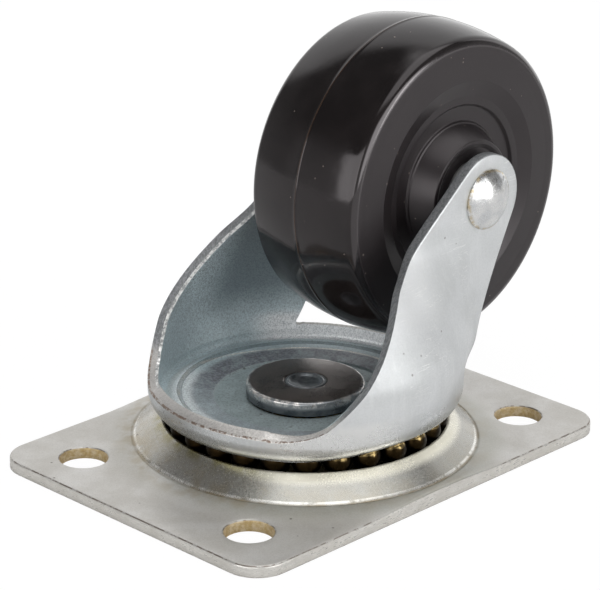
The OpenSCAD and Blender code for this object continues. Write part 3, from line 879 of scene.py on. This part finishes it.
def build_fork(materials):
    """One sheet: rings of points from the bore out under the cup, up, over the cut edge and back."""
    outside, cut, burr, inside, floor_slot = 0, 1, 2, 3, 4
    columns, rear_turn = fork_columns()
    n = len(columns)
    under = rounded([(7.5, 9.1), (7.5, 7.45, 0.2), (9.5, 7.5, 1.2), (11.3, 8.7, 1.4), (17.2, 8.7, 4.0),
                     (21.6, 9.35, 0.4), (22.0, 9.4)])
    wall_in = CUP_R - SHEET
    over = rounded([(wall_in, WALL_Z), (wall_in, 11.35, 0.75), (26.1, 11.35, 0.7), (24.6, 12.1, 0.4),
                    (23.5, 11.6, 0.6), (19.6, 11.25, 3.0), (17.45, 11.0, 0.3), (17.0, 10.7, 0.3),
                    (10.9, 10.7, 0.5)]
                   + [(*p, 0) for p in arc(LOW_RING, LOW_Z, LOW_R + 0.05, 352, 237, 8)] + [(7.5, 9.1)])
    rings, kinds = [], []

    def add(ring, kind):
        rings.append(ring)
        kinds.append(kind)

    def turned(radii, heights):
        return [Vector(about_swivel(r, turn, z)) for (turn, _, _), r, z in zip(columns, radii, heights)]

    def swept(centre_r, centres, radius, start, ends, steps):
        """Rings along an arc of the section, from the start angle to each column's own end angle."""
        for k in range(steps + 1):
            turns = [start + (end - start) * k / steps for end in ends]
            add(turned([centre_r + radius * cos(a) for a in turns],
                       [z + radius * sin(a) for z, a in zip(centres, turns)]), outside)

    for r, z in under:
        add(turned([r] * n, [z] * n), outside)
    tops = [corner_z(c[0]) for c in columns]
    swept(BALL_RING, [BALL_Z] * n, TRACK_R, TRACK_FROM,
          [asin((z - 0.96 * CORNER_R - BALL_Z) / TRACK_R) for z in tops], 14)
    swept(CUP_R - CORNER_R, tops, CORNER_R, CORNER_FROM,
          [asin((WALL_Z - z) / CORNER_R) for z in tops], 9)

    def drawn_in(turn, point, normal):
        """Moves a point of the straight wall on to the cup's rounded corner."""
        depth = max(corner_z(turn) - point.z, 0)
        if depth == 0:
            return point, normal
        reach = CUP_R - CORNER_R + sqrt(CORNER_R ** 2 - depth ** 2)
        share, tilt = reach / CUP_R, asin(depth / CORNER_R)
        flat = Vector((normal.x, normal.y, 0)).normalized()
        return (Vector((point.x * share, point.y * share, point.z)),
                flat * cos(tilt) + Vector((0, 0, -sin(tilt))))

    def frame_at(column, v):
        """Point, outward normal and edge direction of the outer surface at share v up a column."""
        turn, edge, side = column
        x0 = CUP_R * cos(turn)
        if edge is None:
            point = Vector((x0, CUP_R * sin(turn), WALL_Z + (rim_height(turn, rear_turn) - WALL_Z) * v))
            point, normal = drawn_in(turn, point, Vector((cos(turn), sin(turn), 0)))
            return point, normal, Vector((0, 0, 1))
        x, z = x0 + (edge[0] - x0) * v, WALL_Z + (edge[1] - WALL_Z) * v
        normal = sheet_normal(x, z)
        back = 0.02
        xb, zb = x - (edge[0] - x0) * back, z - (edge[1] - WALL_Z) * back
        point = Vector((x, side * sheet_y(x, z), z))
        along = point - Vector((xb, side * sheet_y(xb, zb), zb))
        point, normal = drawn_in(turn, point, Vector((normal.x, side * normal.y, normal.z)))
        return point, normal, along.normalized()

    def lift_at(column):
        """The rim's inner edge stands higher; up the legs the cut turns square to the sheet."""
        if column[1] is None:
            return RIM_LIFT
        above = max(column[1][1] - EDGE_Z, 0)
        return RIM_LIFT * exp(-above / 2.5)

    def cut_edge(column):
        """Points across the cut edge: outer corner, start of the torn part, inner corner."""
        point, normal, along = frame_at(column, 1)
        inner = point - normal * SHEET + along * lift_at(column)
        across = (inner - point).normalized()
        mid = ROUND_MID * EDGE_ROUND
        return (point - along * mid + across * mid, point + across * EDGE_ROUND,
                point.lerp(inner, TORN_FROM), inner - across * EDGE_ROUND, inner - along * mid - across * mid)

    def inner_point(column, share):
        point, normal, along = frame_at(column, share)
        return point - normal * SHEET + along * lift_at(column) * share ** 2

    stops = [(k / SHEET_ROWS) ** 0.9 for k in range(1, SHEET_ROWS + 1)]
    reach = [1 - EDGE_ROUND / (frame_at(c, 1)[0] - frame_at(c, 0)[0]).length for c in columns]
    for v in stops:
        add([frame_at(c, v * share)[0] for c, share in zip(columns, reach)], outside)
    for ring, kind in zip(zip(*map(cut_edge, columns)), (cut, cut, cut, burr, burr)):
        add(ring, kind)
    for v in reversed(stops):
        add([inner_point(c, v * share) for c, share in zip(columns, reach)], burr if v == 1 else inside)
    feet = [inner_point(c, 0) for c in columns]
    for r, z in over:
        follow = smooth(z, 11.6, WALL_Z) * smooth(r, 26.3, wall_in)
        drop = Vector((0, 0, z - WALL_Z))
        ring = [p.lerp(foot + drop, follow) for p, foot in zip(turned([r] * n, [z] * n), feet)]
        add(ring, inside if r > FLOOR_R else floor_slot)
    faces, slots = [], []
    for k, kind in enumerate(kinds[1:]):
        for i in range(n):
            j = (i + 1) % n
            faces.append([k * n + i, k * n + j, (k + 1) * n + j, (k + 1) * n + i])
            # the burr rows' painted highlight goes on the +Y leg only; the other columns get the cut edge's
            # finish
            slots.append(cut if kind == burr and columns[i][2] != 1 else kind)
    points = [p for ring in rings for p in ring]
    make_piece("fork_pressing", ("swivel_fork", "fork_zinc", "fork"), points, faces, materials, slots, 50)


# ---------------- turned pieces


def build_kingpin(steel):
    """Head under the plate, collar on the dome, spigot through the washer and the dished, peened end."""
    low, seat, top = pin_low.z, washer_low.z - SLIP, washer_high.z
    head_top = TABLE_Z - PLATE_T - SLIP
    profile = rounded([
        (0, low), (7.0, low, 0.5), (8.0, low + 1.0, 0.5), (8.0, head_top, 0.2), (PIN_R - SLIP, head_top),
        (PIN_R - SLIP, TABLE_Z), (COLLAR_R, TABLE_Z + SLIP, 0.1), (COLLAR_R, seat, 0.1),
        (SPIGOT_R - SLIP, seat), (SPIGOT_R - SLIP, top + SLIP, 0.12), (3.55, top - 0.10, 0.1),
        (3.25, top + 0.04, 0.12), (2.7, top - 0.42, 0.5), (1.2, top - 0.72, 1.2), (0, top - 0.76)])
    lathe("kingpin_rivet", ("base", "pin_steel", "kingpin"), profile, about_swivel, steel, 96, False)


def build_race_washer(steel):
    r, low, high = washer_high.x, washer_low.z, washer_high.z
    groove = [(*p, 0) for p in arc(LOW_RING, LOW_Z, LOW_R + 0.05, 18, 162, 10)]
    profile = rounded([(SPIGOT_R, low)] + list(reversed(groove)) + [
        (r - 0.1, low, 0.35), (r, low + 0.9, 0.5), (r, high, 0.62), (SPIGOT_R + 0.3, high, 0.15),
        (SPIGOT_R, high - 0.25)], True, 6)
    lathe("thick_race_washer", ("base", "dark_washer", "race_washer"), profile, about_swivel, steel, 160)


def build_balls(name, home, ring_r, z, radius, count, phase, steel):
    """A row of balls, each a sphere with its poles turned to a different side."""
    points, faces = [], []
    across, down = 28, 14
    rng = random.Random(count)
    for b in range(count):
        turn = 2 * pi * b / count + radians(phase)
        centre = Vector((ring_r * cos(turn), ring_r * sin(turn), z))
        pole = Vector([rng.gauss(0, 1) for _ in range(3)]).to_track_quat("Z", "Y")
        base = len(points)
        points += [centre + pole @ Vector((0, 0, radius)), centre + pole @ Vector((0, 0, -radius))]
        for k in range(1, down):
            lat = pi * k / down
            for i in range(across):
                lon = 2 * pi * i / across
                spot = Vector((sin(lat) * cos(lon), sin(lat) * sin(lon), cos(lat)))
                points.append(centre + pole @ (spot * radius))

        def ring(k, i):
            return base + 2 + (k - 1) * across + i % across

        for i in range(across):
            faces.append([base, ring(1, i), ring(1, i + 1)])
            faces.append([base + 1, ring(down - 1, i + 1), ring(down - 1, i)])
            for k in range(1, down - 1):
                faces.append([ring(k, i), ring(k + 1, i), ring(k + 1, i + 1), ring(k, i + 1)])
    make_piece(name, home, points, faces, [steel], None, 60)


def dome(base, height, steps):
    """Points of a shallow dome's section from its rim to its tip: (radius, height above the base)."""
    radius = (base * base + height * height) / (2 * height)
    reach = asin(base / radius)
    turns = [reach * (1 - k / steps) for k in range(steps + 1)]
    return [(radius * sin(a), radius * cos(a) - radius + height) for a in turns]


def build_rivet(steel):
    """The axle, with a domed head on the near leg and a smaller peened dome on the far one."""
    face, shank = LEG_Y + SLIP, 3.175
    head_h, tail_h = RIVET_HEAD - face, RIVET_TAIL - face
    head = [(r, -face - 0.35 - h * (head_h - 0.35) / head_h) for r, h in dome(5.8, head_h, 12)]
    tail = [(r, face + 0.3 + h * (tail_h - 0.3) / tail_h) for r, h in dome(5.0, tail_h, 10)]
    profile = list(reversed(head)) + [(5.72, -face), (shank, -face), (shank, face), (4.92, face)] + tail
    home = ("swivel_fork", "rivet_zinc", "axle_rivet")
    lathe("axle_rivet_pin", home, profile, about_axle, steel, 96, False, 50)


def tube(name, body, node, r_out, r_in, low, high, chamfer, steel):
    corners = [(r_in, low, chamfer), (r_out, low, chamfer), (r_out, high, chamfer), (r_in, high, chamfer)]
    lathe(name, (body, "plain_steel", node), rounded(corners, True, 3), about_axle, steel, 96)


def build_wheel(rubber):
    """One moulding: parting line, crowned tread, shoulder, stepped side face and tapered hub."""
    crown, crown_half = 1.24, 10.9
    half = [(WHEEL_R + 0.07, 0.0, 0), (WHEEL_R + 0.05, 0.12, 0), (WHEEL_R - 0.01, 0.26, 0)]
    across = [0.8 + 10.4 * k / 12 for k in range(13)]
    half += [(WHEEL_R - crown * (s / crown_half) ** 2, s, 0) for s in across]
    # shoulder, side face, web, tapered hub and its bore
    half += [(28.86, 13.12, 2.0), (25.5, 13.2, 12), (21.05, 13.5, 0.3), (17.9, 12.5, 0.8), (16.4, 12.5, 0.25),
             (15.9, 11.75, 0.5), (13.0, 11.6, 0.3), (12.85, 12.0, 0.15), (12.5, 12.1, 0.3),
             (10.35, HUB_HALF - 0.05, 0.35), (9.7, HUB_HALF, 0.25), (8.9, HUB_HALF - 0.45, 0.3),
             (6.7, HUB_HALF - 0.45, 0.1), (6.5, HUB_HALF - 0.6, 0)]
    side = rounded(half, False, 7)
    profile = side + [(r, -s) for r, s in reversed(side[1:])]
    home = ("road_wheel", "hard_rubber", "wheel")
    lathe("rubber_wheel", home, profile, about_axle, rubber, 220, sharp=45)


# ---------------- studio


class Sky(Graph):
    """The studio as seen from the part: a function of direction alone."""

    def __init__(self):
        world = bpy.data.worlds.new("studio")
        bpy.context.scene.world = world
        world.use_nodes = True
        self.tree = world.node_tree
        self.tree.nodes.clear()
        self.place = self.node("TexCoord").outputs["Generated"]

    def along(self, direction):
        made = self.node("VectorMath", {"operation": "DOT_PRODUCT"})
        self.feed(made.inputs[0], self.place)
        made.inputs[1].default_value = direction
        return made.outputs["Value"]

    def softbox(self, azimuth, elevation, half_width, half_height, soft):
        """1 inside a flat rectangle facing the part, its size given as half angles in degrees."""
        az, el = radians(azimuth), radians(elevation)
        facing = Vector((cos(el) * cos(az), cos(el) * sin(az), sin(el)))
        side = Vector((-sin(az), cos(az), 0))
        over = facing.cross(side)
        ahead = self.along(facing)
        mask = self.math("GREATER_THAN", ahead, 0.05)
        for axis, half in ((side, half_width), (over, half_height)):
            reach = tan(radians(half))
            away = self.math("ABSOLUTE", self.math("DIVIDE", self.along(axis), ahead))
            mask = self.times(mask, self.ramp(away, reach * (1 - soft), reach * (1 + soft), 1, 0))
        return mask


def studio():
    """Softboxes left, right and overhead, a white backdrop behind, and a dim room elsewhere."""
    sky = Sky()
    height = sky.along((0, 0, 1))
    light = sky.plus(sky.ramp(height, 0.0, 0.6, 0.36, 0.14), sky.ramp(height, -0.12, -0.02, 0.3, 0))
    lamps = ((38, 12, 50, 42, 0.22, 0.82), (-166, 8, 33, 20, 0.06, 2.3), (-84.5, 10, 22.5, 19, 0.2, 2.2),
             (-64, 0, 8, 17, 0.3, 3.4), (-60, 80, 32, 22, 0.25, 1.7), (150, 0, 18, 22, 0.4, 0.2))
    for azimuth, elevation, half_width, half_height, soft, strength in lamps:
        glow = sky.times(sky.softbox(azimuth, elevation, half_width, half_height, soft), strength)
        light = sky.plus(light, glow)
    seen = sky.node("LightPath").outputs["Is Camera Ray"]
    room = sky.node("Background", Color=(1, 1, 1), Strength=light)
    white = sky.node("Background", Color=(1, 1, 1), Strength=1.0)
    sky.node("OutputWorld", Surface=sky.blend(seen, room, white))


def pale_floor():
    """White to the camera apart from a faint shadow, a little darker where it's reflected."""
    half, z = 0.6, -0.05 * MM
    corners = [(-half, -half, z), (half, -half, z), (half, half, z), (-half, half, z)]
    mesh = bpy.data.meshes.new("floor")
    mesh.from_pydata(corners, [], [(0, 1, 2, 3)])
    g = Graph("pale_floor")
    paper = g.noise(300, 2)
    seen = g.node("LightPath").outputs["Is Camera Ray"]
    diffuse = g.node("BsdfDiffuse", Color=g.mix(paper, (0.80, 0.80, 0.80), (0.84, 0.84, 0.84)))
    glow = g.node("Emission", Color=(1, 1, 1), Strength=1.03)
    g.node("OutputMaterial", Surface=g.blend(g.times(seen, 0.93), diffuse, glow))
    mesh.materials.append(g.material)
    add_object("floor", mesh)


def camera():
    """The viewing angle: a long lens from the front left, a little above."""
    data = bpy.data.cameras.new("camera")
    data.lens, data.sensor_width = LENS, SENSOR
    data.clip_start, data.clip_end = 0.01, 20
    eye = add_object("camera", data)
    eye.location = EYE
    eye.rotation_euler = (AIM - EYE).to_track_quat("-Z", "Y").to_euler()
    eye.rotation_euler.rotate_axis("Z", ROLL)
    bpy.context.scene.camera = eye


# ---------------- assembly

steel = plain_steel()
ball_metal = ball_steel()

build_plate([plate_zinc(), plate_edge(), hole_wall()])
build_fork([fork_zinc(), fork_edge(), burr_highlight_metal(), fork_inside(), fork_floor()])
build_kingpin(pin_steel())
build_race_washer(washer_steel())
build_balls("upper_ball_set", ("upper_ball_row", "greased_balls", "upper_balls"),
            BALL_RING, BALL_Z, BALL_R, UPPER_COUNT, UPPER_PHASE, ball_metal)
build_balls("lower_ball_set", ("lower_ball_row", "greased_balls", "lower_balls"),
            LOW_RING, LOW_Z, LOW_R, LOWER_COUNT, 0, ball_metal)
build_rivet(rivet_zinc())
leg_in, thrust_in, thrust_out = LEG_Y - SHEET - SLIP, thrust_low.y, thrust_high.y
tube("sleeve_tube", "swivel_fork", "axle_sleeve", SLEEVE_R, SLEEVE_BORE, -leg_in, leg_in, 0.15, steel)
tube("right_thrust_washer", "swivel_fork", "thrust_washer_right",
     THRUST_R, BUSH_BORE, thrust_in, thrust_out, 0.2, steel)
tube("left_thrust_washer", "swivel_fork", "thrust_washer_left",
     THRUST_R, BUSH_BORE, -thrust_out, -thrust_in, 0.2, steel)
tube("bushing_tube", "road_wheel", "hub_bushing",
     BUSH_R, BUSH_BORE, -bushing_high.y, bushing_high.y, 0.2, steel)
build_wheel(hard_rubber())

pale_floor()
studio()
camera()
bpy.context.scene.view_settings.view_transform = "Standard"
bpy.context.scene.view_settings.look = "None"
